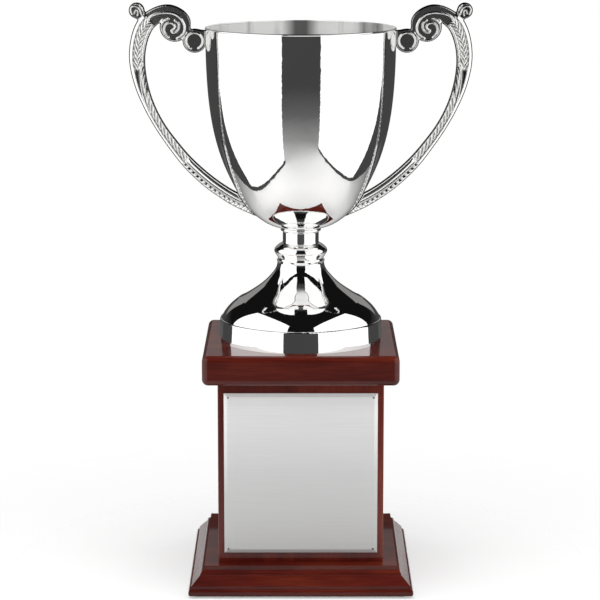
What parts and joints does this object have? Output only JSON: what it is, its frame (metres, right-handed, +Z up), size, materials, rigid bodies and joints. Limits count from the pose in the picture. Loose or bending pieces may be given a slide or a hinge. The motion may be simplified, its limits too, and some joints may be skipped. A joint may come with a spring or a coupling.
{
  "type": "cup trophy",
  "caption": "Two-handled plated cup trophy with a flared foot, scroll handles and a square polished wood plinth that carries a blank engraving plate.",
  "frame": {"origin": "centre of the underside of the felt pad, which rests on the table", "axes": "+Z up through the cup, the engraved front faces -Y, the handles lie along X"},
  "size_m": [0.2226, 0.145, 0.3778],
  "materials": {
    "plated": "polished",
    "plated_casting": "polished",
    "plaque_metal": "satin",
    "pin_metal": "satin",
    "polished_wood": "gloss",
    "column_wood": "gloss",
    "inner_wood": "matte",
    "felt": "matte",
    "fastener_steel": "satin",
    "seal_rubber": "matte"
  },
  "bodies": {
    "root": {"bowl": "plated", "bowl_collar": "plated", "stem_neck": "plated", "stem_knop": "plated", "foot_bell": "plated", "foot_band": "plated", "handle_left": "plated_casting", "handle_right": "plated_casting", "plaque": "plaque_metal", "plaque_pins": "pin_metal", "base_board": "polished_wood", "cap_board": "polished_wood", "column_front": "column_wood", "column_right": "column_wood", "column_back": "column_wood", "column_left": "column_wood", "corner_block_1": "inner_wood", "corner_block_2": "inner_wood", "corner_block_3": "inner_wood", "corner_block_4": "inner_wood", "column_top_plate": "inner_wood", "felt_pad": "felt", "base_screws": "fastener_steel", "cap_screws": "fastener_steel", "handle_screws": "fastener_steel", "tie_bolt": "fastener_steel", "foot_washer": "fastener_steel", "foot_nut": "fastener_steel", "plinth_washer": "fastener_steel", "plinth_nut": "fastener_steel", "bowl_washer": "seal_rubber"}
  },
  "joints": []
}
